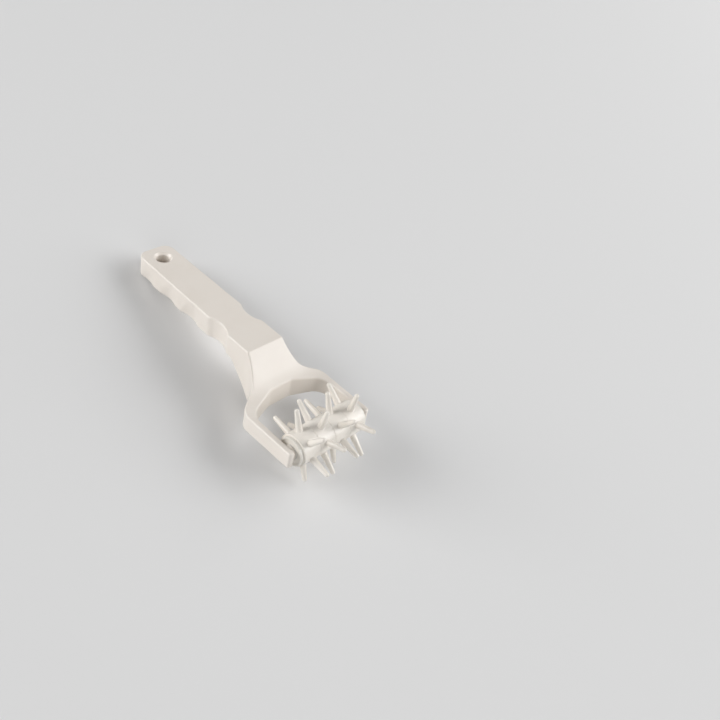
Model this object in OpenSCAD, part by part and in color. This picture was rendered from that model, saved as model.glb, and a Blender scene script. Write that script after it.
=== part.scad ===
// Dough docker: a spiked roller that turns freely in a forked plastic handle.
// It lies as it rests on a table: the pins and the end of the handle touch z = 0.
// +X points along the handle, +Y along the roller axis, and +Z up.

/* [Handle] */
// Distance from the roller axis to the end of the handle
handle_reach = 208.2; // [170:0.1:250]
// Width of the grip over its ridges, between the finger grooves
grip_width = 32; // [28:0.1:36]
// Height of the grip from its underside to its top
grip_height = 18; // [15:0.1:24]
// Height of the grip's top above the roller axis, at its front edge
grip_top = 33.6; // [30:0.1:40]
// Width of the swell that stops the hand, behind the neck
swell_width = 33.6; // [32:0.1:38]
// Distance from the roller axis to the front edge of the grip's top
crease_reach = 69.7; // [64:0.1:80]
// Radius of the grip's rear corners, seen from above
end_corner = 8; // [2:0.5:12]

/* [Finger grooves] */
// Number of finger grooves on each side of the grip
groove_count = 4; // [1:1:4]
// Distance between neighbouring grooves
groove_pitch = 28; // [22:0.5:29]
// Distance from the roller axis to the first groove, for the index finger
groove_start = 105; // [104:0.5:110]
// Radius of the first groove's hollow
index_groove_radius = 21; // [16:1:30]
// Depth of the first groove
index_groove_depth = 3.3; // [1:0.1:4]
// Radius of the other grooves' hollows
groove_radius = 24; // [20:1:60]
// Depth of the other grooves at the grip's top edge
groove_top_depth = 0.4; // [0.2:0.1:1.5]
// Depth of the other grooves at the grip's bottom edge
groove_bottom_depth = 2.6; // [1:0.1:4]
// How far the other grooves run toward the handle's end from their top to their bottom
groove_sweep = 6; // [0:0.5:8]

/* [Hanging hole] */
// Diameter of the hanging hole
hole_diameter = 11.2; // [6:0.1:14]
// Distance from the hole's centre to the end of the handle
hole_from_end = 14; // [12:0.5:20]
// Width of the bevel round the hole's rim
hole_bevel = 1.8; // [0.4:0.1:2.5]

/* [Fork] */
// Thickness of one arm
arm_thickness = 5; // [4.2:0.1:7]
// Height of an arm from its underside to its top
arm_height = 13.9; // [10:0.1:18]
// Distance from the roller axis to the free end of an arm
arm_overhang = 7.1; // [6.5:0.1:12]
// Radius of an arm's outer corner at its free end
arm_corner = 2.5; // [0.5:0.1:4]
// Distance from the roller axis to the back of the fork's opening
throat_reach = 47.5; // [44:0.1:54]
// Half the width of the flat at the back of the fork's opening
throat_flat = 10.1; // [4:0.1:12]
// Diameter of the round boss on each arm's inner face
boss_diameter = 12.4; // [10:0.1:13]
// Height of that boss over the arm's inner face
boss_height = 2.2; // [1:0.1:3]

/* [Roller] */
// Diameter over the tips of the pins
tip_diameter = 60; // [52:0.5:72]
// Diameter of the roller's barrel
barrel_diameter = 25.4; // [20:0.1:30]
// Number of pin rings along the barrel
ring_count = 4; // [4:1:4]
// Width of one pin ring
ring_width = 15.05; // [12:0.05:19]
// Number of pins round one ring
pins_per_ring = 6; // [6:1:6]
// Diameter of a pin just above the fillet at its root
pin_root_diameter = 5.2; // [3:0.1:6]
// Radius of the fillet between a pin and the barrel
pin_fillet = 1.2; // [0.4:0.1:1.6]
// Diameter of a pin at its rounded tip
pin_tip_diameter = 3.2; // [1.5:0.1:4]
// Bevel on each rim of a ring, seen as a fine line where two rings meet
ring_bevel = 0.35; // [0.1:0.05:0.8]
// How far the first ring's pins are turned from the fork's upright, toward the handle
roller_turn = 19.9; // [0:0.1:60]

/* [Axle and fits] */
// Distance across the flats of the twelve-sided core inside the rings
core_flats = 12; // [9:0.1:14]
// Diameter of the round journals at both ends of the core
journal_diameter = 6; // [4:0.1:8]
// Depth of the blind socket that holds a journal, from the boss's face
socket_depth = 5; // [3.5:0.1:5.2]
// Gap round a journal in its socket
socket_clearance = 0.08; // [0.02:0.01:0.1]
// Gap between a journal's end and the socket's floor
journal_end_gap = 0.4; // [0.2:0.05:1]
// Gap round the core inside a ring or a collar
core_clearance = 0.05; // [0.02:0.01:0.1]
// Diameter of the end collars
collar_diameter = 22.6; // [18:0.1:25]
// Thickness of an end collar
collar_thickness = 2.5; // [2:0.1:4]
// Width of the rim round the recess in a collar's outer face
collar_rim = 1.6; // [1:0.1:3]
// Depth of that recess
collar_recess = 0.7; // [0.4:0.1:1.8]
// Gap between an end collar and the boss beside it
side_play = 0.3; // [0.2:0.05:0.6]

/* [Hidden] */

ivory = [0.93, 0.90, 0.84];
milky = [0.95, 0.95, 0.94];
core_grey = [0.80, 0.80, 0.78];

overlap = 1;
arc_steps = 8;
round_steps = 96;
// Largest part of an outline's side that the fillets at its two ends may take
fillet_share = 0.98;

// Roller and fork, from the middle outward along the roller axis
barrel_half = ring_count * ring_width / 2;
collar_outer = barrel_half + collar_thickness;
boss_face = collar_outer + side_play;
arm_inner = boss_face + boss_height;
arm_outer = arm_inner + arm_thickness;
journal_tip = boss_face + socket_depth - journal_end_gap;
arm_top = arm_height / 2;

// Neck, from the fork's top up to the grip
neck_slope = 50;
neck_blend = 28;
neck_foot = crease_reach - (grip_top - arm_top) / tan(neck_slope);
grip_rise = 2.8;
grip_end_top = grip_top + grip_rise;
grip_bottom = grip_end_top - grip_height;
grip_slope = grip_rise / (handle_reach - crease_reach);
grip_edge = 1.2;
arm_edge = 1;
grip_end_edge = 3;
grip_end_width = grip_width - 2.4;
hole_reach = handle_reach - hole_from_end;
hole_top = grip_end_top - grip_slope * hole_from_end;
hole_bottom = hole_top - grip_height;
belly_start = 65;
belly_slope = 45.9;
belly_end = (grip_bottom - grip_slope * handle_reach + arm_top + belly_start * tan(belly_slope))
            / (tan(belly_slope) - grip_slope);
belly_end_bottom = grip_bottom - grip_slope * (handle_reach - belly_end);
belly_blend = 10;

// Fork shoulders, seen from above
shoulder_corner = [43.7, arm_outer, 10.7];
neck_corner = [53.8, 23.8, 15.7];
neck_waist = [64.2, swell_width / 2, 29];
swell_back = [93, swell_width / 2, 4];
ridge_front = [95, grip_width / 2, 4];
throat_slope = 70;
throat_corner_radius = 12.8;
throat_back_radius = 6.2;
throat_corner = throat_reach - (arm_inner - throat_flat) / tan(throat_slope);

// Pins
pin_tip_radius = pin_tip_diameter / 2;
pin_root_radius = pin_root_diameter / 2;
pin_foot_radius = pin_root_radius + pin_fillet;
pin_foot = sqrt(pow(barrel_diameter / 2, 2) - pow(pin_foot_radius, 2));
fillet_steps = 5;
pin_reach = tip_diameter / 2 - pin_tip_radius;
pin_pitch = 360 / pins_per_ring;
pin_embed = barrel_diameter / 2 - 3;

// Resting pose: the handle's end and the lowest pins stand on the table
tilt = rest_tilt(12);
tip_turn = nearest_turn(roller_turn + tilt);
axis_height = pin_reach * cos(tip_turn) + pin_tip_radius;
roller_front = axis_height;
rear_reach = handle_reach * cos(tilt) + grip_end_top * sin(tilt);
centre_shift = (rear_reach - roller_front) / 2;

// Angle between the pin nearest to the plumb line and that line
function nearest_turn(turn) =
    let (step = pin_pitch / 2, rest = turn - step * floor(turn / step))
    min(rest, step - rest);

// Tilt at which the grip's lower rear edge is level with the lowest pin tip
function rest_tilt(angle, rounds = 12) =
    rounds == 0 ? angle :
    let (height = pin_reach * cos(nearest_turn(roller_turn + angle)) + pin_tip_radius,
         arm = norm([handle_reach, grip_bottom]),
         lean = atan2(grip_bottom, handle_reach))
    rest_tilt(asin(height / arm) + lean, rounds - 1);

// Outline with each corner [x, y, radius] rounded to its radius, or to less where a side is short
function rounded_outline(corners) =
    let (count = len(corners),
         ends = [for (corner = corners) [corner.x, corner.y]],
         sides = [for (i = [0 : count - 1]) ends[(i + 1) % count] - ends[i]],
         reaches = [for (i = [0 : count - 1])
             corners[i][2] * tan(turn_between(sides[(i + count - 1) % count], sides[i]) / 2)],
         shares = [for (i = [0 : count - 1])
             min(1, fillet_share * norm(sides[i]) / (reaches[i] + reaches[(i + 1) % count]))])
    [for (i = [0 : count - 1])
        let (last = (i + count - 1) % count)
        each corner_arc(ends[last], ends[i], ends[(i + 1) % count],
                        corners[i][2] * min(shares[last], shares[i]))];

function turn_between(side, next_side) =
    acos(side * next_side / (norm(side) * norm(next_side)));

function corner_arc(last, here, next, radius) =
    radius == 0 ? [here] :
    let (to_last = (last - here) / norm(last - here),
         to_next = (next - here) / norm(next - here),
         half_angle = acos(to_last * to_next) / 2,
         middle = (to_last + to_next) / norm(to_last + to_next),
         centre = here + middle * radius / sin(half_angle),
         start = here + to_last * radius / tan(half_angle) - centre,
         finish = here + to_next * radius / tan(half_angle) - centre,
         start_angle = atan2(start.y, start.x),
         sweep = short_way(atan2(finish.y, finish.x) - start_angle))
    [for (i = [0 : arc_steps])
        let (angle = start_angle + sweep * i / arc_steps)
        centre + radius * [cos(angle), sin(angle)]];

function short_way(angle) =
    angle > 180 ? angle - 360 : angle < -180 ? angle + 360 : angle;

function mirrored(corners) =
    [for (i = [len(corners) - 1 : -1 : 0]) [corners[i].x, -corners[i].y, corners[i][2]]];

module at_rest() {
    translate([-centre_shift, 0, axis_height])
        rotate([0, tilt, 0])
            children();
}

// Turns children that stand along +Z to stand along +Y
module along_axis() {
    rotate([-90, 0, 0])
        children();
}

module frame_plan() {
    half = [
        [-arm_overhang, arm_outer, arm_corner],
        shoulder_corner,
        neck_corner,
        neck_waist,
        swell_back,
        ridge_front,
        [handle_reach, grip_end_width / 2, end_corner]
    ];
    polygon(rounded_outline(concat(half, mirrored(half))));
}

module frame_profile() {
    polygon(rounded_outline([
        [-arm_overhang, arm_top, arm_edge],
        [neck_foot, arm_top, neck_blend],
        [crease_reach, grip_top, grip_edge],
        [handle_reach, grip_end_top, grip_edge],
        [handle_reach, grip_bottom, grip_end_edge],
        [belly_end, belly_end_bottom, belly_blend],
        [belly_start, -arm_top, belly_blend],
        [-arm_overhang, -arm_top, arm_edge]
    ]));
}

module fork_opening() {
    front = -arm_overhang - overlap;
    half = [
        [front, arm_inner, 0],
        [throat_corner, arm_inner, throat_corner_radius],
        [throat_reach, throat_flat, throat_back_radius]
    ];
    translate([0, 0, -arm_top - overlap])
        linear_extrude(grip_end_top + arm_height)
            polygon(rounded_outline(concat(half, mirrored(half))));
}

// One groove on each side of the grip, whose hollow leans out of the upright toward its bottom
module groove(reach, radius, top_depth, bottom_depth, sweep) {
    inward = atan((bottom_depth - top_depth) / grip_height);
    backward = atan(sweep / grip_height);
    for (side = [-1, 1])
        translate([reach, side * (grip_width / 2 + radius - top_depth), grip_end_top])
            rotate([-side * inward, -backward, 0])
                cylinder(h = 4 * grip_height, r = radius, center = true, $fn = round_steps);
}

module finger_grooves() {
    groove(groove_start, index_groove_radius, index_groove_depth, index_groove_depth, 0);
    for (i = [1 : 1 : groove_count - 1])
        groove(groove_start + i * groove_pitch, groove_radius, groove_top_depth,
               groove_bottom_depth, groove_sweep);
}

module hanging_hole() {
    radius = hole_diameter / 2;
    rim_radius = radius + hole_bevel + overlap;
    translate([hole_reach, 0, hole_bottom - overlap]) {
        cylinder(h = grip_height + 2 * overlap, r = radius, $fn = round_steps);
        cylinder(h = hole_bevel + overlap, r1 = rim_radius, r2 = radius, $fn = round_steps);
    }
    translate([hole_reach, 0, hole_top - hole_bevel])
        cylinder(h = hole_bevel + overlap, r1 = radius, r2 = rim_radius, $fn = round_steps);
}

module frame() {
    color(ivory)
        at_rest()
            difference() {
                union() {
                    difference() {
                        intersection() {
                            translate([0, 0, -arm_top - overlap])
                                linear_extrude(grip_end_top + arm_height)
                                    frame_plan();
                            rotate([90, 0, 0])
                                linear_extrude(2 * (arm_outer + overlap), center = true)
                                    frame_profile();
                        }
                        fork_opening();
                        finger_grooves();
                        hanging_hole();
                    }
                    for (side = [0, 1])
                        mirror([0, side, 0])
                            translate([0, boss_face, 0])
                                along_axis()
                                    cylinder(h = boss_height + overlap, d = boss_diameter,
                                             $fn = round_steps);
                }
                for (side = [0, 1])
                    mirror([0, side, 0])
                        translate([0, boss_face - overlap, 0])
                            along_axis()
                                cylinder(h = socket_depth + overlap,
                                         r = journal_diameter / 2 + socket_clearance,
                                         $fn = round_steps);
            }
}

// Twelve-sided bar along the roller axis, with its flats at a given gap from the core's
module core_bar(length, gap = 0) {
    along_axis()
        cylinder(h = length, d = (core_flats + 2 * gap) / cos(15), center = true, $fn = 12);
}

module axle_core() {
    color(core_grey)
        at_rest()
            rotate([0, roller_turn, 0]) {
                core_bar(2 * collar_outer);
                along_axis()
                    cylinder(h = 2 * journal_tip, d = journal_diameter, center = true,
                             $fn = round_steps);
            }
}

// The foot's fillet ends where the barrel falls away to its level at both sides of the pin
module pin() {
    fillet = [for (i = [0 : fillet_steps])
        let (angle = 90 * i / fillet_steps)
        [pin_foot_radius - pin_fillet * sin(angle), pin_foot + pin_fillet * (1 - cos(angle))]];
    rotate_extrude($fn = round_steps)
        polygon(concat([[0, pin_embed], [pin_foot_radius, pin_embed]],
                       fillet,
                       [[pin_tip_radius, pin_reach], [0, pin_reach]]));
    translate([0, 0, pin_reach])
        sphere(r = pin_tip_radius, $fn = round_steps);
}

module barrel_disc() {
    radius = barrel_diameter / 2;
    along_axis() {
        cylinder(h = ring_width - 2 * ring_bevel, r = radius, center = true, $fn = round_steps);
        for (side = [0, 1])
            mirror([0, 0, side])
                translate([0, 0, ring_width / 2 - ring_bevel])
                    cylinder(h = ring_bevel, r1 = radius, r2 = radius - ring_bevel,
                             $fn = round_steps);
    }
}

// Ring number 1 is the one on the +Y side, and each next ring is turned half a pin pitch
module pin_ring(number) {
    color(milky)
        at_rest()
            translate([0, barrel_half - (number - 0.5) * ring_width, 0])
                rotate([0, roller_turn, 0])
                    difference() {
                        union() {
                            barrel_disc();
                            for (i = [0 : pins_per_ring - 1])
                                rotate([0, (i + (number - 1) / 2) * pin_pitch, 0])
                                    pin();
                        }
                        core_bar(ring_width + 2 * overlap, core_clearance);
                    }
}

module end_collar(side) {
    color(milky)
        at_rest()
            translate([0, side * (barrel_half + collar_thickness / 2), 0])
                rotate([0, roller_turn, 0])
                    difference() {
                        along_axis()
                            cylinder(h = collar_thickness, d = collar_diameter, center = true,
                                     $fn = round_steps);
                        translate([0, side * (collar_thickness - collar_recess), 0])
                            along_axis()
                                cylinder(h = collar_thickness, center = true, $fn = round_steps,
                                         d = collar_diameter - 2 * collar_rim);
                        core_bar(collar_thickness + 2 * overlap, core_clearance);
                    }
}

frame();
axle_core();
pin_ring(1);  // pin_ring_1
pin_ring(2);  // pin_ring_2
pin_ring(3);  // pin_ring_3
pin_ring(4);  // pin_ring_4
end_collar(1);  // end_collar_near
end_collar(-1);  // end_collar_far
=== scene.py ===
"""A dough docker: a barrel of tapered pins that turns between the arms of a forked handle."""

import logging
import math
from bisect import bisect_right
from collections.abc import Callable, Sequence
from dataclasses import dataclass
from enum import Enum

import bmesh
import bpy
from mathutils import Matrix, Vector

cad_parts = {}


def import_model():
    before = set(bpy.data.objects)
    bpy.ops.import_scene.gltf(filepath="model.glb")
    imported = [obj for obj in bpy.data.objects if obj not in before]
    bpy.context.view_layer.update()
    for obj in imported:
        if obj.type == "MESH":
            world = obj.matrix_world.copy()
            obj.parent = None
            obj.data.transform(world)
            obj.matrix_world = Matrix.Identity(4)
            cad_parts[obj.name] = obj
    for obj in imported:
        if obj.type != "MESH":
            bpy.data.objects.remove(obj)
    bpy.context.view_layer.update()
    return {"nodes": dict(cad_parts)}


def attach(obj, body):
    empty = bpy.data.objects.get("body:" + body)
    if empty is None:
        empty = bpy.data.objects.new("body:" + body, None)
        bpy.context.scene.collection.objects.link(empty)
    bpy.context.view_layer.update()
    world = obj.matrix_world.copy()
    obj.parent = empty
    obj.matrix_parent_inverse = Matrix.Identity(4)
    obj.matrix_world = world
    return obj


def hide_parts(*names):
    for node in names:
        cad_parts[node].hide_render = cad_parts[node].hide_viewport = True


log = logging.getLogger("dough_docker")

Colour = tuple[float, float, float]
UP = (0.0, 0.0, 1.0)
ACROSS = (0.0, 1.0, 0.0)
MILLIMETRE = 0.001  # metres
TOUCH = 1e-3  # millimetres: a point this close to a wall lies on it
MERGE = 1e-5  # millimetres: points this close are one
MIX_FACTOR, MIX_FIRST, MIX_SECOND = 0, 6, 7  # inputs of a Mix node that mixes colours
MIX_RESULT = 2  # its output


class Body(Enum):
    """The two bodies that the pieces ride on."""

    FRAME = "frame"
    ROLLER = "roller"


class Slot(Enum):
    """The record's material slots for the new pieces."""

    HANDLE = "handle_plastic"
    RING = "ring_plastic"
    COLLAR = "collar_plastic"


class Side(Enum):
    """The docker's two sides, as the sign of y in its own axes."""

    NEAR = 1.0
    FAR = -1.0


class Value:
    """A shader socket whose operators add the Math nodes that they stand for."""

    def __init__(self, graph: "Graph", socket: bpy.types.NodeSocket) -> None:
        """Wraps one output socket of a graph."""
        self.graph = graph
        self.socket = socket

    def _math(self, operation: str, *inputs: "Value | float") -> "Value":
        """Adds one Math node.

        Args:
            operation: The node's operation.
            inputs: Its inputs in order, as values or plain numbers.

        Returns:
            The node's result.
        """
        settings = {"operation": operation}
        return self.graph.node("ShaderNodeMath", settings, dict(enumerate(inputs)))

    def __add__(self, other: "Value | float") -> "Value":
        """Adds a value or a number."""
        return self._math("ADD", self, other)

    def __radd__(self, other: float) -> "Value":
        """Adds this value to a number."""
        return self._math("ADD", other, self)

    def __sub__(self, other: "Value | float") -> "Value":
        """Takes away a value or a number."""
        return self._math("SUBTRACT", self, other)

    def __rsub__(self, other: float) -> "Value":
        """Takes this value away from a number."""
        return self._math("SUBTRACT", other, self)

    def __mul__(self, other: "Value | float") -> "Value":
        """Multiplies by a value or a number."""
        return self._math("MULTIPLY", self, other)

    def __rmul__(self, other: float) -> "Value":
        """Multiplies a number by this value."""
        return self._math("MULTIPLY", other, self)

    def ramp(self, low: float, high: float) -> "Value":
        """Rises smoothly from 0 to 1.

        Args:
            low: Where this value starts the rise.
            high: Where it ends it.

        Returns:
            The risen value.
        """
        settings = {"interpolation_type": "SMOOTHSTEP"}
        inputs = {"Value": self, "From Min": low, "From Max": high}
        return self.graph.node("ShaderNodeMapRange", settings, inputs)


Input = Value | float | tuple[float, ...]


class Graph:
    """A material's node tree, with one method that adds any node."""

    def __init__(self, name: str) -> None:
        """Makes a material with a Principled shader.

        Args:
            name: The material's name.
        """
        self.material = bpy.data.materials.new(name)
        self.material.use_nodes = True
        self.tree = self.material.node_tree
        self.shader = self.tree.nodes["Principled BSDF"]

    def node(
        self,
        kind: str,
        settings: dict[str, str],
        inputs: dict[str | int, Input],
        output: int | str = 0,
    ) -> Value:
        """Adds one node.

        Args:
            kind: The node's type.
            settings: Its own settings, which are set before its sockets.
            inputs: Its sockets by name or number, as values, colours or numbers.
            output: The name or number of the socket to return.

        Returns:
            The chosen output.
        """
        made = self.tree.nodes.new(kind)
        for name, setting in settings.items():
            setattr(made, name, setting)
        for socket, value in inputs.items():
            self.feed(made.inputs[socket], value)
        return Value(self, made.outputs[output])

    def feed(self, socket: bpy.types.NodeSocket, value: Input) -> None:
        """Links a value to a socket, or sets a plain number or colour on it.

        Args:
            socket: The input socket.
            value: What it gets.
        """
        if isinstance(value, Value):
            self.tree.links.new(value.socket, socket)
        else:
            socket.default_value = value

    def place(self) -> Value:
        """The point on the object, in metres."""
        return self.node("ShaderNodeTexCoord", {}, {}, "Object")

    def noise(self, scale: float, detail: float) -> Value:
        """A soft noise from 0 to 1, with a scale in cells per metre and finer layers over it."""
        inputs = {"Vector": self.place(), "Scale": scale, "Detail": detail}
        return self.node("ShaderNodeTexNoise", {}, inputs)

    def blend(self, factor: Value, first: Colour, second: Colour) -> Value:
        """Mixes two colours, all of the second where the factor is 1."""
        inputs = {MIX_FACTOR: factor, MIX_FIRST: (*first, 1.0), MIX_SECOND: (*second, 1.0)}
        return self.node("ShaderNodeMix", {"data_type": "RGBA"}, inputs, MIX_RESULT)

    def relief(self, height: Value) -> Value:
        """Turns a height in metres into a normal."""
        inputs = {"Height": height, "Strength": 1.0, "Distance": 1.0}
        return self.node("ShaderNodeBump", {}, inputs)


@dataclass(frozen=True)
class MouldedPlastic:
    """Injection-moulded plastic: a faintly clouded colour, and a fine skin over a slight sink.

    Depths are in metres, and scales are cells of noise per metre.
    """

    name: str
    colour: Colour
    cloud_colour: Colour
    roughness: float
    rough_patches: float
    coat: float
    coat_roughness: float
    grain_depth: float
    sink_depth: float
    cloud_scale: float = 38.0
    cloud_from: float = 0.35
    cloud_to: float = 0.7
    patch_scale: float = 140.0
    sink_scale: float = 55.0
    grain_scale: float = 2600.0
    refraction: float = 1.49

    def material(self) -> bpy.types.Material:
        """Builds the material.

        Returns:
            A material that reads object coordinates only.
        """
        graph = Graph(self.name)
        sockets = graph.shader.inputs
        cloud = graph.noise(self.cloud_scale, detail=3.0).ramp(self.cloud_from, self.cloud_to)
        patch = graph.noise(self.patch_scale, detail=2.0) - 0.5
        graph.feed(sockets["Base Color"], graph.blend(cloud, self.colour, self.cloud_colour))
        graph.feed(sockets["Roughness"], self.roughness + self.rough_patches * patch)
        sink = graph.noise(self.sink_scale, detail=1.0) * self.sink_depth
        grain = graph.noise(self.grain_scale, detail=1.0) * self.grain_depth
        graph.feed(sockets["Normal"], graph.relief(sink + grain))
        sockets["IOR"].default_value = self.refraction
        sockets["Coat Weight"].default_value = self.coat
        sockets["Coat Roughness"].default_value = self.coat_roughness
        return graph.material


IVORY = MouldedPlastic(
    name="ivory_moulding",
    colour=(0.82, 0.764, 0.70),
    cloud_colour=(0.80, 0.742, 0.676),
    roughness=0.36,
    rough_patches=0.10,
    coat=0.25,
    coat_roughness=0.22,
    grain_depth=0.000004,
    sink_depth=0.00005,
)
MILKY = MouldedPlastic(
    name="milky_moulding",
    colour=(0.845, 0.80, 0.735),
    cloud_colour=(0.83, 0.78, 0.71),
    roughness=0.32,
    rough_patches=0.06,
    coat=0.4,
    coat_roughness=0.14,
    grain_depth=0.000002,
    sink_depth=0.00004,
)
COLLAR = MouldedPlastic(
    name="collar_moulding",
    colour=(0.80, 0.77, 0.71),
    cloud_colour=(0.78, 0.745, 0.68),
    roughness=0.30,
    rough_patches=0.08,
    coat=0.3,
    coat_roughness=0.18,
    grain_depth=0.000003,
    sink_depth=0.00003,
)
CORE = MouldedPlastic(
    name="core_moulding",
    colour=(0.70, 0.69, 0.66),
    cloud_colour=(0.67, 0.655, 0.62),
    roughness=0.5,
    rough_patches=0.10,
    coat=0.0,
    coat_roughness=0.3,
    grain_depth=0.000006,
    sink_depth=0.00003,
)


def dress(piece: bpy.types.Object, material: bpy.types.Material) -> None:
    """Gives every face of a piece one material."""
    piece.data.materials.clear()
    piece.data.materials.append(material)


@dataclass(frozen=True)
class Corner:
    """A corner of a path, in millimetres, and the radius that rounds it."""

    x: float
    y: float
    radius: float = 0.0


@dataclass(frozen=True)
class RoundedPath:
    """Straight runs with rounded corners, and a point close to both ends of each run.

    The turn step is the most, in degrees, that an arc turns from one point to the next, and
    the run in is how far the close points lie from the ends.
    """

    corners: tuple[Corner, ...]
    closed: bool = True
    turn_step: float = 9.0
    run_in: float = 0.6

    def points(self) -> list[Vector]:
        """Lists the path's points in order.

        Returns:
            Flat points, from the first corner's arc on.
        """
        arcs = [self._arc(index) for index in range(len(self.corners))]
        found: list[Vector] = []
        for index, arc in enumerate(arcs):
            found += arc
            if self.closed or index + 1 < len(arcs):
                found += self._run(arc[-1], arcs[(index + 1) % len(arcs)][0])
        return found

    def _arc(self, index: int) -> list[Vector]:
        """Rounds one corner.

        Args:
            index: The corner's place in the path.

        Returns:
            The points of its arc, or the corner alone where it has no radius.
        """
        corner = self.corners[index]
        here = Vector((corner.x, corner.y))
        if corner.radius == 0.0:
            return [here]
        last, after = self.corners[index - 1], self.corners[(index + 1) % len(self.corners)]
        back = (Vector((last.x, last.y)) - here).normalized()
        onward = (Vector((after.x, after.y)) - here).normalized()
        half = back.angle(onward) / 2
        centre = here + (back + onward).normalized() * corner.radius / math.sin(half)
        spoke = here + back * corner.radius / math.tan(half) - centre
        turn = math.copysign(math.pi - 2 * half, spoke.y * back.x - spoke.x * back.y)
        steps = max(2, math.ceil(abs(math.degrees(turn)) / self.turn_step))
        turned = [Matrix.Rotation(turn * step / steps, 2) @ spoke for step in range(steps + 1)]
        return [centre + point for point in turned]

    def _run(self, start: Vector, end: Vector) -> list[Vector]:
        """Supports a straight run.

        Args:
            start: Where the run starts.
            end: Where it ends.

        Returns:
            A point just inside each end, or none where the run is short.
        """
        along = end - start
        if along.length < 3 * self.run_in:
            return []
        step = along.normalized() * self.run_in
        return [start + step, end - step]


@dataclass(frozen=True)
class Slope:
    """A height that follows the points of a path."""

    points: tuple[tuple[float, float], ...]

    def height(self, x: float) -> float:
        """Finds the height at one place.

        Args:
            x: The place along the path.

        Returns:
            The height on the straight line between the two nearest points.
        """
        place = min(max(bisect_right(self.points, (x, math.inf)), 1), len(self.points) - 1)
        (x0, y0), (x1, y1) = self.points[place - 1], self.points[place]
        return y0 + (y1 - y0) * (x - x0) / (x1 - x0)

    def stretch(self, x: float, reach: float = 0.5) -> float:
        """How much longer the path is than its plan, close to one place."""
        rise = (self.height(x + reach) - self.height(x - reach)) / (2 * reach)
        return math.hypot(1.0, rise)


class Shape:
    """A mesh in millimetres, in the docker's own axes, that grows from rows of vertices."""

    def __init__(self) -> None:
        """Starts an empty mesh, whose vertices know their place in their row."""
        self.mesh = bmesh.new()
        self.spot = self.mesh.verts.layers.int.new("spot")

    def row(self, points: Sequence[Vector], closed: bool) -> list[bmesh.types.BMEdge]:
        """Lays a row of vertices and joins them by edges.

        Args:
            points: Where they stand, in order.
            closed: Whether the last is joined to the first.

        Returns:
            The row's edges.
        """
        verts = [self.mesh.verts.new(point) for point in points]
        for index, vert in enumerate(verts):
            vert[self.spot] = index
        after = verts[1:] + verts[:1] if closed else verts[1:]
        return [self.mesh.edges.new(pair) for pair in zip(verts, after)]

    def rise(self, rows: Sequence[Sequence[Vector]]) -> None:
        """Lays a closed row and extrudes it through the next ones.

        Args:
            rows: The rows in order, which all have as many points.
        """
        edges = self.row(rows[0], closed=True)
        for points in rows[1:]:
            made = bmesh.ops.extrude_edge_only(self.mesh, edges=edges)["geom"]
            verts = {part for part in made if isinstance(part, bmesh.types.BMVert)}
            for vert in verts:
                vert.co = points[vert[self.spot]]
            wires = [part for part in made if isinstance(part, bmesh.types.BMEdge)]
            edges = [edge for edge in wires if verts.issuperset(edge.verts)]

    def turn(
        self, points: Sequence[Vector], steps: int, closed: bool = False
    ) -> list[bmesh.types.BMVert]:
        """Lays a row of points of radius and height, and spins it once round +Z.

        Args:
            points: The points in order.
            steps: How many steps the spin takes.
            closed: Whether the last point is joined to the first.

        Returns:
            The vertices that the spin leaves.
        """
        earlier = set(self.mesh.verts)
        edges = self.row([Vector((point.x, 0.0, point.y)) for point in points], closed)
        bmesh.ops.spin(
            self.mesh,
            geom=[vert for vert in self.mesh.verts if vert not in earlier] + edges,
            cent=(0.0, 0.0, 0.0),
            axis=UP,
            dvec=(0.0, 0.0, 0.0),
            angle=2 * math.pi,
            steps=steps,
            use_merge=True,
            use_duplicate=False,
        )
        made = [vert for vert in self.mesh.verts if vert not in earlier]
        bmesh.ops.remove_doubles(self.mesh, verts=made, dist=MERGE)
        return [vert for vert in self.mesh.verts if vert not in earlier]

    def move(self, verts: Sequence[bmesh.types.BMVert], matrix: Matrix) -> None:
        """Moves some of the vertices by a matrix."""
        bmesh.ops.transform(self.mesh, matrix=matrix, verts=list(verts))

    def fill(
        self, edges: Sequence[bmesh.types.BMEdge], facing: tuple[float, float, float]
    ) -> None:
        """Fills the flat space between closed runs of edges.

        Args:
            edges: The edges of all the runs.
            facing: The direction that the space faces.
        """
        bmesh.ops.triangle_fill(
            self.mesh, use_beauty=True, use_dissolve=False, edges=list(edges), normal=facing
        )

    def open_edges(self, flat: Callable[[Vector], bool]) -> list[bmesh.types.BMEdge]:
        """Lists the edges that have one face, where both ends pass a test."""
        edges = [edge for edge in self.mesh.edges if edge.is_boundary]
        return [edge for edge in edges if all(flat(vert.co) for vert in edge.verts)]

    def cut(self, x: float, slack: float = 1e-4) -> None:
        """Cuts every face at one place along the handle.

        Args:
            x: The place.
            slack: How close to it a vertex counts as lying on the cut.
        """
        geometry = self.mesh.verts[:] + self.mesh.edges[:] + self.mesh.faces[:]
        bmesh.ops.bisect_plane(
            self.mesh, geom=geometry, dist=slack, plane_co=(x, 0.0, 0.0), plane_no=(1.0, 0.0, 0.0)
        )

    def piece(self, name: str, place: Matrix, sharp_angle: float = 25.0) -> bpy.types.Object:
        """Makes a smooth piece of the mesh.

        Args:
            name: The piece's name.
            place: Takes the mesh to the row frame.
            sharp_angle: Edges that turn more than this, in degrees, stay crisp.

        Returns:
            The piece, linked to the scene, with its object at the origin.
        """
        self.mesh.verts.layers.int.remove(self.spot)
        self.mesh.transform(place)
        bmesh.ops.recalc_face_normals(self.mesh, faces=self.mesh.faces[:])
        for edge in self.mesh.edges:
            edge.smooth = edge.calc_face_angle(0.0) < math.radians(sharp_angle)
        for face in self.mesh.faces:
            face.smooth = True
        data = bpy.data.meshes.new(name)
        self.mesh.to_mesh(data)
        self.mesh.free()
        made = bpy.data.objects.new(name, data)
        bpy.context.scene.collection.objects.link(made)
        return made


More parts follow.
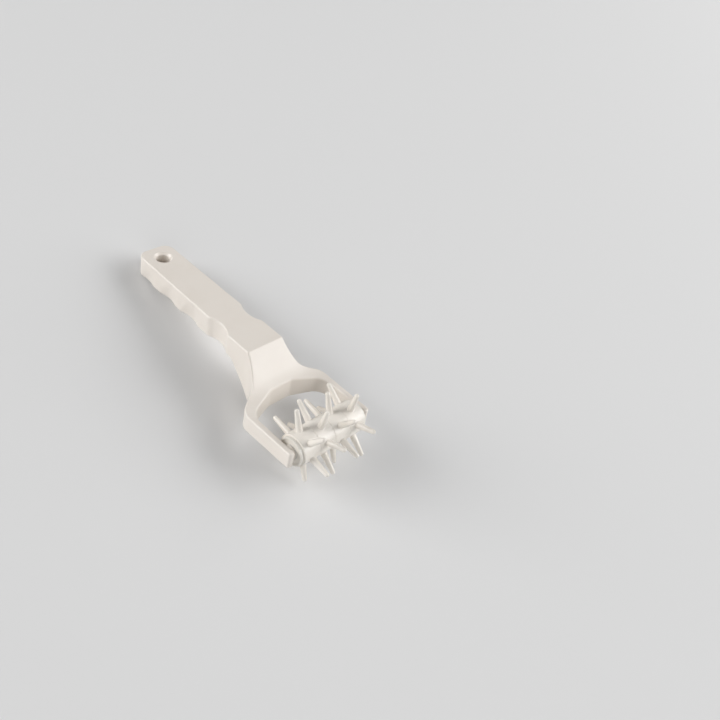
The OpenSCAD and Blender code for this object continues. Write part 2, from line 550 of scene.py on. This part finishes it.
@dataclass(frozen=True)
class RestPose:
    """How the docker's own axes lie at rest, in degrees and millimetres.

    The x axis runs along the handle from the roller's axis, and the z axis up off the fork.
    """

    tilt: float = 13.290614
    axis_height: float = 29.955977
    centre_shift: float = 90.517858

    def matrix(self) -> Matrix:
        """Places the docker's axes.

        Returns:
            The matrix from millimetres in the docker's axes to metres in the row frame.
        """
        shift = Matrix.Translation((-self.centre_shift, 0.0, self.axis_height))
        turn = Matrix.Rotation(math.radians(self.tilt), 4, "Y")
        return Matrix.Scale(MILLIMETRE, 4) @ shift @ turn


def along_axis(side: Side) -> Matrix:
    """Turns what stands round +Z to stand round the roller's axis, facing one side."""
    return Matrix.Scale(side.value, 4, ACROSS) @ Matrix.Rotation(-math.pi / 2, 4, "X")


@dataclass(frozen=True)
class Groove:
    """A finger groove in both sides of the grip, which can lean and deepen toward its bottom."""

    reach: float
    radius: float
    top_depth: float
    bottom_depth: float
    sweep: float = 0.0
    grip_half: float = 16.0
    grip_top: float = 36.4
    grip_height: float = 18.0

    def wall(self, x: float, z: float) -> float:
        """Finds the hollow's wall.

        Args:
            x: The place along the handle.
            z: The height over the roller's axis.

        Returns:
            How far the wall stands off the middle plane, or infinity outside the groove.
        """
        share = (self.grip_top - z) / self.grip_height
        depth = self.top_depth + (self.bottom_depth - self.top_depth) * share
        lean = math.hypot(1.0, self.sweep / self.grip_height)
        offset = (x - self.reach - self.sweep * share) / lean
        if abs(offset) >= self.radius:
            return math.inf
        return self.grip_half + self.radius - depth - math.sqrt(self.radius**2 - offset**2)


def soft_min(first: float, second: float, blend: float) -> float:
    """The lesser of two values, with the corner between them rounded off."""
    near = max(blend - abs(first - second), 0.0) / blend
    return min(first, second) - near * near * blend / 4


@dataclass(frozen=True)
class HandleForm:
    """The handle as a flat outline that gets a height and rounded edges, in the docker's axes.

    Levels run from 0 at the bottom to the nominal depth at the top, whatever the real heights.
    """

    outline: RoundedPath
    top: Slope
    bottom: Slope
    grooves: tuple[Groove, ...]
    edge: float = 1.2
    end_edge: float = 3.0
    end_from: float = 197.0
    end_to: float = 207.0
    support: float = 0.4
    fillet_steps: int = 5
    wall_steps: int = 7
    grip_step: float = 1.6
    grip_from: float = 90.0
    ridge_blend: float = 0.5
    depth: float = 18.0

    @property
    def band(self) -> float:
        """The levels that a rounded edge takes up, with its support."""
        return self.edge + self.support

    def rows(self) -> list[tuple[float, float]]:
        """Lists how each ring of the outline lies, from the bottom fill to the top fill.

        Returns:
            Pairs of inset and level.
        """
        angles = [math.pi / 2 * step / self.fillet_steps for step in range(self.fillet_steps + 1)]
        rounding = [(self.edge * (1 - math.sin(a)), self.edge * (1 - math.cos(a))) for a in angles]
        low = [(self.band, 0.0), *rounding]
        rise = (self.depth - 2 * self.band) / self.wall_steps
        walls = [(0.0, self.band + rise * step) for step in range(self.wall_steps + 1)]
        return low + walls + [(inset, self.depth - level) for inset, level in reversed(low)]

    def plan(self) -> list[Vector]:
        """Lists the outline's points, with more of them along the grip, where the grooves are.

        Returns:
            Flat points in order.
        """
        points = self.outline.points()
        found: list[Vector] = []
        for index, point in enumerate(points):
            after = points[(index + 1) % len(points)]
            found.append(point)
            gap = (after - point).length
            if min(point.x, after.x) > self.grip_from and gap > 2 * self.grip_step:
                count = round(gap / self.grip_step)
                found += [point.lerp(after, step / count) for step in range(1, count)]
        return found

    def height(self, x: float, level: float) -> float:
        """Finds the real height of a level.

        Args:
            x: The place along the handle.
            level: The level.

        Returns:
            The height over the roller's axis.
        """
        low, high = self.bottom.height(x), self.top.height(x)
        low_band = self.band * self.bottom.stretch(x) * self.growth(x)
        high_band = self.band * self.top.stretch(x)
        if level <= self.band:
            return low + low_band * level / self.band
        if level >= self.depth - self.band:
            return high - high_band * (self.depth - level) / self.band
        share = (level - self.band) / (self.depth - 2 * self.band)
        return low + low_band + (high - high_band - low - low_band) * share

    def growth(self, x: float) -> float:
        """How many times as large the bottom edge's radius is here, which grows near the end."""
        share = min(max((x - self.end_from) / (self.end_to - self.end_from), 0.0), 1.0)
        return 1.0 + (self.end_edge / self.edge - 1.0) * share * share * (3 - 2 * share)

    def walled(self, point: Vector, level: float) -> Vector:
        """Moves a point of the outline in to the grooves.

        Args:
            point: The point.
            level: Its level.

        Returns:
            The moved point.
        """
        height = self.height(point.x, level)
        off = abs(point.y)
        for groove in self.grooves:
            off = soft_min(off, groove.wall(point.x, height), self.ridge_blend)
        return Vector((point.x, math.copysign(off, point.y)))

    def ring(self, plan: Sequence[Vector], inset: float, level: float) -> list[Vector]:
        """Lays the outline at one level.

        Args:
            plan: The outline's points.
            inset: How far they are moved in.
            level: The level.

        Returns:
            The points, with the level as their z.
        """
        wall = [self.walled(point, level) for point in plan]
        grown = level < self.depth / 2
        found = []
        for index, here in enumerate(wall):
            before, after = wall[index - 1], wall[(index + 1) % len(wall)]
            along = (here - before).normalized() + (after - here).normalized()
            inward = Vector((along.y, -along.x)).normalized()
            reach = inset * (self.growth(plan[index].x) if grown else 1.0)
            found.append((here + inward * reach).to_3d() + Vector((0.0, 0.0, level)))
        return found

    def stations(self) -> list[float]:
        """Lists the places along the handle where its top or bottom bends.

        Returns:
            The places in order, without those on the edges of the ends.
        """
        reaches = [point.x for point in self.plan()]
        first, last = min(reaches) + self.edge, max(reaches) - self.edge
        bends = sorted({round(x, 3) for x, _ in (*self.top.points, *self.bottom.points)})
        return [x for x in bends if first < x < last]


@dataclass(frozen=True)
class PhotoCamera:
    """The photograph's camera, as solved for the docker at rest, with its place in metres."""

    location: tuple[float, float, float] = (-0.24316, 0.34674, 0.50505)
    right: tuple[float, float, float] = (-0.64476, -0.68174, 0.34570)
    up: tuple[float, float, float] = (0.70902, -0.36442, 0.60373)
    lens: float = 41.93
    sensor: float = 36.0
    clip_start: float = 0.01

    def build(self) -> None:
        """Adds the camera and makes it the scene's own."""
        data = bpy.data.cameras.new("photo_camera")
        data.lens = self.lens
        data.sensor_width = self.sensor
        data.clip_start = self.clip_start
        camera = bpy.data.objects.new("photo_camera", data)
        right = Vector(self.right).normalized()
        up = (Vector(self.up) - Vector(self.up).dot(right) * right).normalized()
        turn = Matrix((right, up, right.cross(up))).transposed().to_4x4()
        camera.matrix_world = Matrix.Translation(self.location) @ turn
        bpy.context.scene.collection.objects.link(camera)
        bpy.context.scene.camera = camera


@dataclass(frozen=True)
class SoftLamp:
    """A square soft box that faces the docker, with its power in watts."""

    name: str
    direction: tuple[float, float, float]
    power: float
    distance: float = 5.0
    size: float = 3.0

    def build(self) -> None:
        """Hangs the lamp and turns it to the docker."""
        data = bpy.data.lights.new(self.name, "AREA")
        data.shape = "SQUARE"
        data.size = self.size
        data.energy = self.power
        lamp = bpy.data.objects.new(self.name, data)
        aim = Vector(self.direction).normalized()
        lamp.location = aim * self.distance
        lamp.rotation_euler = aim.to_track_quat("Z", "Y").to_euler()
        bpy.context.scene.collection.objects.link(lamp)


@dataclass(frozen=True)
class Studio:
    """A plain pale floor, five soft boxes and an even sky."""

    floor_size: float = 16.0
    floor_colour: Colour = (0.74, 0.74, 0.74)
    floor_roughness: float = 0.8
    floor_specular: float = 0.0
    sky_colour: Colour = (1.0, 1.0, 1.0)
    sky_strength: float = 0.18
    lamps: tuple[SoftLamp, ...] = (
        SoftLamp("left_box", (0.62, 0.70, 0.36), 196.0),
        SoftLamp("right_box", (-0.60, -0.72, 0.44), 108.0),
        SoftLamp("high_box", (-0.60, -0.72, 0.85), 42.0),
        SoftLamp("back_box", (-0.10, -0.87, 0.62), 70.0),
        SoftLamp("front_box", (-0.70, 0.62, 0.40), 50.0),
    )

    def build(self) -> None:
        """Lays the floor, hangs the lamps and lights the sky."""
        self._floor()
        for lamp in self.lamps:
            lamp.build()
        self._sky()

    def _floor(self) -> None:
        """Lays the floor at the height on which the docker rests."""
        shape = bmesh.new()
        bmesh.ops.create_grid(shape, x_segments=1, y_segments=1, size=self.floor_size / 2)
        mesh = bpy.data.meshes.new("floor")
        shape.to_mesh(mesh)
        shape.free()
        floor = bpy.data.objects.new("floor", mesh)
        bpy.context.scene.collection.objects.link(floor)
        graph = Graph("floor_paper")
        sockets = graph.shader.inputs
        sockets["Base Color"].default_value = (*self.floor_colour, 1.0)
        sockets["Roughness"].default_value = self.floor_roughness
        sockets["Specular IOR Level"].default_value = self.floor_specular
        dress(floor, graph.material)

    def _sky(self) -> None:
        """Gives the world an even light."""
        world = bpy.data.worlds.new("sky")
        world.use_nodes = True
        background = world.node_tree.nodes["Background"]
        background.inputs["Color"].default_value = (*self.sky_colour, 1.0)
        background.inputs["Strength"].default_value = self.sky_strength
        bpy.context.scene.world = world


def mirrored(corners: Sequence[Corner]) -> tuple[Corner, ...]:
    """The same corners on the other side of the middle plane, in reverse."""
    return tuple(Corner(corner.x, -corner.y, corner.radius) for corner in reversed(corners))


def slope(corners: Sequence[Corner], turn_step: float = 4.0) -> Slope:
    """A height that follows an open path with these corners."""
    path = RoundedPath(tuple(corners), closed=False, turn_step=turn_step)
    return Slope(tuple((point.x, point.y) for point in path.points()))


@dataclass(frozen=True)
class Handle:
    """The forked handle, one ivory moulding with a boss and a blind socket on each arm.

    Sizes are in millimetres. The corners of side and throat are of reach and half width, and
    those of top and bottom of reach and height.
    """

    rest: RestPose
    arm_end: float = -7.1
    arm_outer: float = 40.1
    arm_inner: float = 35.1
    arm_half: float = 6.95
    slopes_from: float = -9.0
    slopes_to: float = 210.0
    side: tuple[Corner, ...] = (
        Corner(arm_end, arm_outer, 2.5),
        Corner(43.7, arm_outer, 10.7),
        Corner(53.8, 23.8, 15.7),
        Corner(64.2, 16.8, 29.0),
        Corner(93.0, 16.8, 4.0),
        Corner(95.0, 16.0, 4.0),
        Corner(208.2, 14.8, 8.0),
    )
    throat: tuple[Corner, ...] = (
        Corner(47.5, 10.1, 6.2),
        Corner(38.4007, arm_inner, 12.8),
        Corner(arm_end, arm_inner, 1.9),
    )
    top: tuple[Corner, ...] = (
        Corner(slopes_from, arm_half),
        Corner(47.338, arm_half, 28.0),
        Corner(69.7, 33.6, 1.3),
        Corner(slopes_to, 36.4364),
    )
    bottom: tuple[Corner, ...] = (
        Corner(slopes_from, -arm_half),
        Corner(65.0, -arm_half, 10.0),
        Corner(87.1952, 15.9537, 10.0),
        Corner(slopes_to, 18.4364),
    )
    grooves: tuple[Groove, ...] = (
        Groove(reach=105.0, radius=21.0, top_depth=3.3, bottom_depth=3.3),
        Groove(reach=133.0, radius=24.0, top_depth=0.4, bottom_depth=2.6, sweep=6.0),
        Groove(reach=161.0, radius=24.0, top_depth=0.4, bottom_depth=2.6, sweep=6.0),
        Groove(reach=189.0, radius=24.0, top_depth=0.4, bottom_depth=2.6, sweep=6.0),
    )
    outline_step: float = 4.5
    boss_face: float = 32.9
    boss_radius: float = 6.2
    boss_edge: float = 0.35
    boss_lap: float = 0.05  # how far its bore runs past the arm's inner wall
    boss_sunk: float = 0.6  # how deep its foot is set in the arm
    boss_relief: float = 0.3  # how much wider its bore is at the foot
    boss_run_in: float = 0.15
    socket_radius: float = 3.08
    socket_floor: float = 37.9
    socket_mouth: float = 0.15
    socket_run_in: float = 0.3
    window: float = 4.6  # half the width of the opening round the socket
    hole_reach: float = 194.2
    hole_radius: float = 5.6
    hole_round: float = 0.8
    hole_rim: float = 7.4
    rim_round: float = 0.5
    rim_landing: float = 0.9
    round_steps: int = 64

    def build(self) -> bpy.types.Object:
        """Builds the moulding.

        Returns:
            The moulding that stands for the frame.
        """
        form = self.form()
        shape = Shape()
        plan = form.plan()
        shape.rise([form.ring(plan, inset, level) for inset, level in form.rows()])
        self._hole(shape, form.depth)
        for level in (0.0, form.depth):
            face = shape.open_edges(lambda spot, level=level: abs(spot.z - level) < TOUCH)
            shape.fill(face, UP)
        for x in (-self.window, self.window, *form.stations()):
            shape.cut(x)
        for vert in shape.mesh.verts:
            vert.co.z = form.height(vert.co.x, vert.co.z)
        for side in Side:
            self._socket(shape, side, self.arm_half - form.edge - form.support)
            self._boss(shape, side)
        moulding = shape.piece("handle_moulding", self.rest.matrix())
        dress(moulding, IVORY.material())
        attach(moulding, Body.FRAME.value)
        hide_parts("frame")
        return moulding

    def form(self) -> HandleForm:
        """Gives the moulding's form.

        Returns:
            Its outline, heights and grooves.
        """
        throat = mirrored(self.throat) + self.throat
        outline = RoundedPath(self.side + mirrored(self.side) + throat, turn_step=self.outline_step)
        return HandleForm(outline, slope(self.top), slope(self.bottom), self.grooves)

    def _hole(self, shape: Shape, depth: float) -> None:
        """Turns the wall of the hanging hole, whose rims are bevelled and rounded.

        Args:
            shape: The handle's shape, before it has its heights.
            depth: The level of its top.
        """
        lower = (
            Corner(self.hole_rim + self.rim_landing, 0.0),
            Corner(self.hole_rim, 0.0, self.rim_round),
            Corner(self.hole_radius, self.hole_rim - self.hole_radius, self.hole_round),
        )
        upper = tuple(Corner(corner.x, depth - corner.y, corner.radius) for corner in lower[::-1])
        wall = shape.turn(RoundedPath(lower + upper, closed=False).points(), self.round_steps)
        shape.move(wall, Matrix.Translation((self.hole_reach, 0.0, 0.0)))

    def _socket(self, shape: Shape, side: Side, height: float) -> None:
        """Opens the inner wall of one arm and sinks a blind socket in it.

        Args:
            shape: The handle's shape.
            side: The arm's side.
            height: How far the opening reaches over and under the roller's axis.
        """

        def on_wall(spot: Vector) -> bool:
            """Tells whether a point lies on the inner wall."""
            return abs(spot.y - side.value * self.arm_inner) < TOUCH

        def in_window(spot: Vector) -> bool:
            """Tells whether a point lies in the opening or on its edge."""
            return abs(spot.x) < self.window + TOUCH and abs(spot.z) < height + TOUCH

        inside = {vert for vert in shape.mesh.verts if on_wall(vert.co) and in_window(vert.co)}
        patch = [face for face in shape.mesh.faces if inside.issuperset(face.verts)]
        bmesh.ops.delete(shape.mesh, geom=patch, context="FACES")
        corners = (
            Corner(self.socket_radius, self.arm_inner),
            Corner(self.socket_radius, self.socket_floor),
            Corner(0.0, self.socket_floor),
        )
        path = RoundedPath(corners, closed=False, run_in=self.socket_run_in)
        shape.move(shape.turn(path.points(), self.round_steps), along_axis(side))
        shape.fill(shape.open_edges(on_wall), ACROSS)

    def _boss(self, shape: Shape, side: Side) -> None:
        """Sets the round boss on one arm.

        Args:
            shape: The handle's shape.
            side: The arm's side.
        """
        sunk = self.arm_inner + self.boss_sunk
        corners = (
            Corner(self.socket_radius, self.boss_face, self.socket_mouth),
            Corner(self.socket_radius, self.arm_inner + self.boss_lap),
            Corner(self.socket_radius + self.boss_relief, sunk),
            Corner(self.boss_radius, sunk),
            Corner(self.boss_radius, self.boss_face, self.boss_edge),
        )
        path = RoundedPath(corners, run_in=self.boss_run_in)
        shape.move(shape.turn(path.points(), self.round_steps, closed=True), along_axis(side))


@dataclass(frozen=True)
class Roller:
    """The four pin rings, their core and the two end collars, with sizes in millimetres.

    The pins are round, and every height on them is over the roller's axis.
    """

    rest: RestPose
    nodes: dict[str, bpy.types.Object]
    turn: float = 19.9
    ring_count: int = 4
    ring_width: float = 15.05
    ring_run_in: float = 0.3
    barrel_radius: float = 12.7
    barrel_rim: float = 0.35
    barrel_steps: int = 96
    rim_step: float = 18.0
    pins_per_ring: int = 6
    pin_root: float = 2.6
    pin_fillet: float = 0.5
    pin_tip: float = 1.75
    pin_reach: float = 28.25  # where the cone ends and the round tip starts
    pin_depth: float = 9.7  # where the buried end is
    pin_sunk: float = 0.02  # how far the fillet's foot lies under the barrel's face
    pin_skirt: float = 0.4  # how far the pin spreads below that
    pin_skirt_drop: float = 0.06
    pin_neck: float = 0.3  # how far over the fillet the cone starts
    pin_run_in: float = 0.5
    pin_steps: int = 36
    fillet_step: int = 15
    tip_step: int = 10
    collar_radius: float = 11.3
    collar_thickness: float = 2.5
    collar_inner_edge: float = 0.15
    collar_outer_edge: float = 0.3
    collar_rim: float = 1.6
    collar_recess: float = 0.7
    recess_edge: float = 0.25
    collar_run_in: float = 0.15
    bore_flats: float = 12.1
    bore_sides: int = 12

    @property
    def bore(self) -> float:
        """Half the width over the flats of the bore."""
        return self.bore_flats / 2

    def build(self) -> list[bpy.types.Object]:
        """Builds the rings and collars, and dresses the core.

        Returns:
            The pieces that turn.
        """
        pieces = []
        ring_finish = MILKY.material()
        for number in range(1, self.ring_count + 1):
            ring = self._finish(self._ring(number), f"ring_moulding_{number}", ring_finish)
            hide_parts(f"pin_ring_{number}")
            pieces.append(ring)
        collar_finish = COLLAR.material()
        for side in Side:
            end = side.name.lower()
            collar = self._finish(self._collar(side), f"collar_moulding_{end}", collar_finish)
            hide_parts(f"end_collar_{end}")
            pieces.append(collar)
        core = self.nodes["axle_core"]
        dress(core, CORE.material())
        return [*pieces, core]

    def _finish(self, shape: Shape, name: str, material: bpy.types.Material) -> bpy.types.Object:
        """Turns a shape to the roller's place at rest and dresses it.

        Args:
            shape: The shape, as it stands with a pin of the first ring upright.
            name: The piece's name.
            material: Its material.

        Returns:
            The piece, which rides on the roller.
        """
        turn = Matrix.Rotation(math.radians(self.turn), 4, "Y")
        piece = shape.piece(name, self.rest.matrix() @ turn)
        dress(piece, material)
        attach(piece, Body.ROLLER.value)
        return piece

    def _turned(self, shape: Shape, path: RoundedPath) -> None:
        """Turns a path round +Z, and gives its bore the core's flats, with a corner at angle 0.

        Args:
            shape: The shape to add it to.
            path: A closed path, with the bore's corners at half the width over the flats.
        """
        flat = 2 * math.pi / self.bore_sides
        for vert in shape.turn(path.points(), self.barrel_steps, closed=True):
            reach = math.hypot(vert.co.x, vert.co.y)
            if reach < self.bore + TOUCH:
                off_middle = math.atan2(vert.co.y, vert.co.x) % flat - flat / 2
                vert.co.xy *= self.bore / math.cos(off_middle) / reach

    def _ring(self, number: int) -> Shape:
        """Shapes one pin ring, whose pins are turned half a pitch from the ring before.

        Args:
            number: The ring's number, from the near end.

        Returns:
            The ring in its place along the axis.
        """
        shape = Shape()
        half = self.ring_width / 2
        corners = (
            Corner(self.bore, -half),
            Corner(self.barrel_radius, -half, self.barrel_rim),
            Corner(self.barrel_radius, half, self.barrel_rim),
            Corner(self.bore, half),
        )
        self._turned(shape, RoundedPath(corners, turn_step=self.rim_step, run_in=self.ring_run_in))
        shape.move(shape.mesh.verts[:], along_axis(Side.NEAR))
        pitch = 2 * math.pi / self.pins_per_ring
        for index in range(self.pins_per_ring):
            turn = (index + (number - 1) / 2) * pitch
            shape.move(self._pin(shape), Matrix.Rotation(turn, 4, "Y"))
        middle = (self.ring_count / 2 - number + 0.5) * self.ring_width
        shape.move(shape.mesh.verts[:], Matrix.Translation((0.0, middle, 0.0)))
        return shape

    def _pin_outline(self) -> list[Vector]:
        """Draws one pin's outline, from its buried end to the top of its round tip.

        Returns:
            Points of radius and height over the roller's axis.
        """
        foot = self.pin_root + self.pin_fillet
        ground = self.barrel_radius - self.pin_sunk
        points = [(0.0, self.pin_depth), (foot, self.pin_depth)]
        points.append((foot + self.pin_skirt, ground - self.pin_skirt_drop))
        for angle in map(math.radians, range(0, 91, self.fillet_step)):
            rise = self.pin_fillet * (1 - math.cos(angle))
            points.append((foot - self.pin_fillet * math.sin(angle), ground + rise))
        start = self.barrel_radius + self.pin_fillet + self.pin_neck
        slim = (self.pin_root - self.pin_tip) / (self.pin_reach - start)
        for height in (start, self.pin_reach - self.pin_run_in):
            points.append((self.pin_root - slim * (height - start), height))
        for angle in map(math.radians, range(0, 91, self.tip_step)):
            rise = self.pin_tip * math.sin(angle)
            points.append((self.pin_tip * math.cos(angle), self.pin_reach + rise))
        return [Vector(point) for point in points]

    def _pin(self, shape: Shape) -> list[bmesh.types.BMVert]:
        """Adds a pin along +Z, whose foot is laid on the barrel and runs out into it all round.

        Args:
            shape: The ring's shape, with its barrel round the roller's axis.

        Returns:
            The pin's vertices.
        """
        verts = shape.turn(self._pin_outline(), self.pin_steps)
        fillet_top = self.barrel_radius - self.pin_sunk + self.pin_fillet
        for vert in verts:
            if vert.co.z < fillet_top + TOUCH:
                vert.co.z += math.sqrt(self.barrel_radius**2 - vert.co.x**2) - self.barrel_radius
        return verts

    def _collar(self, side: Side) -> Shape:
        """Shapes one end collar, with a recess in its outer face.

        Args:
            side: The end of the barrel that it is on.

        Returns:
            The collar in its place along the axis.
        """
        shape = Shape()
        step = self.collar_radius - self.collar_rim
        inner = self.ring_count * self.ring_width / 2
        outer = inner + self.collar_thickness
        floor = outer - self.collar_recess
        corners = (
            Corner(self.bore, inner),
            Corner(self.collar_radius, inner, self.collar_inner_edge),
            Corner(self.collar_radius, outer, self.collar_outer_edge),
            Corner(step, outer, self.recess_edge),
            Corner(step, floor, self.recess_edge),
            Corner(self.bore, floor),
        )
        path = RoundedPath(corners, turn_step=self.rim_step, run_in=self.collar_run_in)
        self._turned(shape, path)
        shape.move(shape.mesh.verts[:], along_axis(side))
        return shape


def main() -> None:
    """Builds the camera, the studio and the docker."""
    logging.basicConfig(level=logging.INFO, format="%(name)s: %(message)s")
    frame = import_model()
    bpy.context.scene.view_settings.view_transform = "Standard"
    PhotoCamera().build()
    Studio().build()
    rest = RestPose()
    for piece in (Handle(rest).build(), *Roller(rest, frame["nodes"]).build()):
        log.info("%s has %d faces", piece.name, len(piece.data.polygons))


if __name__ == "__main__":
    main()
